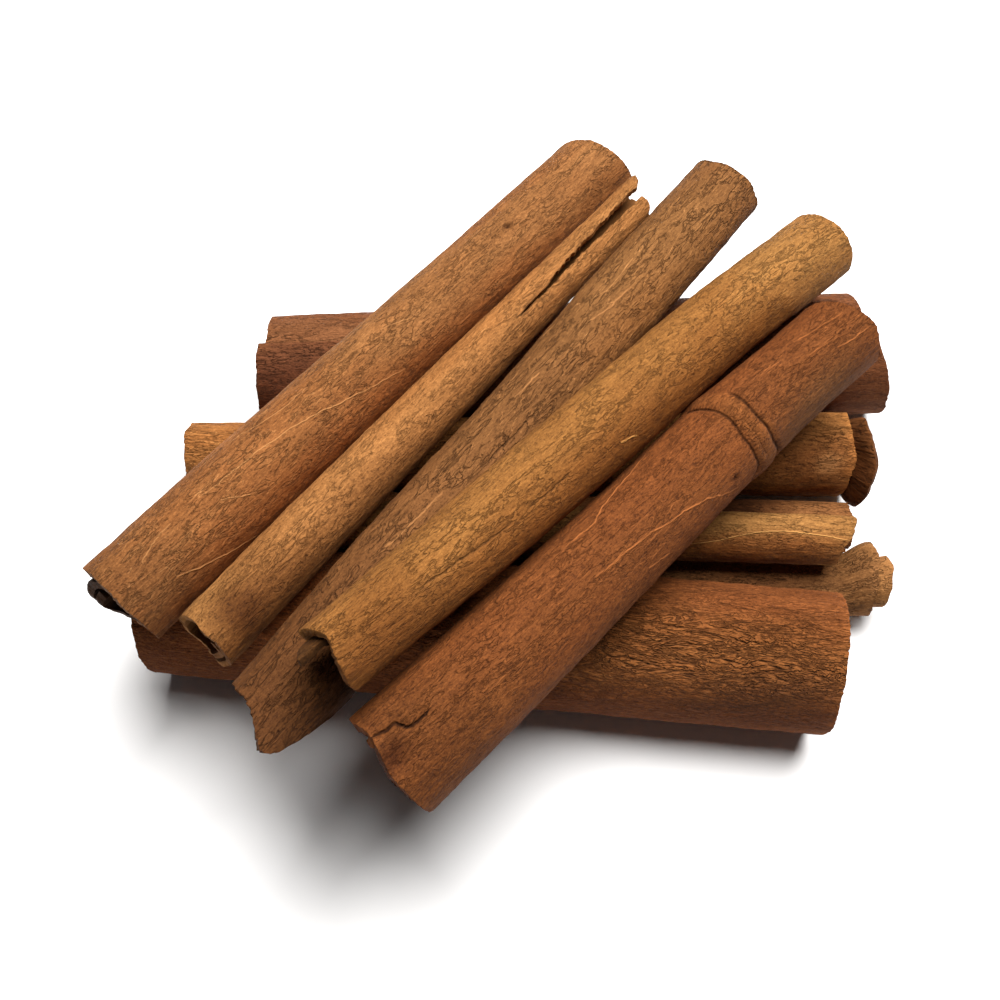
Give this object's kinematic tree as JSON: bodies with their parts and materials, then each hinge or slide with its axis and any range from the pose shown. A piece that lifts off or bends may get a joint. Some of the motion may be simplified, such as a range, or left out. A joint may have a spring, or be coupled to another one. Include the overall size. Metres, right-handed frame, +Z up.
{
  "type": "stack of cinnamon sticks",
  "caption": "A loose crossed stack of rolled bark quills: some lie side by side, the others lie across them at a slant.",
  "frame": {"origin": "under the middle of the stack's bounding box, on the ground it lies on", "axes": "+Z up, +X along the sticks that lie on the ground, +Y towards the back of the stack"},
  "size_m": [0.0944, 0.0884, 0.0361],
  "materials": {
    "red_brown_bark": "dry bark, matt",
    "ochre_bark": "dry bark, matt",
    "grey_brown_bark": "dry bark, matt"
  },
  "bodies": {
    "root": {"front_thick_stick": "red_brown_bark", "back_thick_stick": "red_brown_bark", "back_middle_stick": "ochre_bark", "middle_thin_stick": "grey_brown_bark", "front_middle_stick": "grey_brown_bark", "veined_thin_stick": "ochre_bark", "crossing_left_stick": "grey_brown_bark", "crossing_split_stick": "ochre_bark", "crossing_rough_stick": "grey_brown_bark", "crossing_upper_stick": "ochre_bark", "crossing_ringed_stick": "red_brown_bark"}
  },
  "joints": []
}
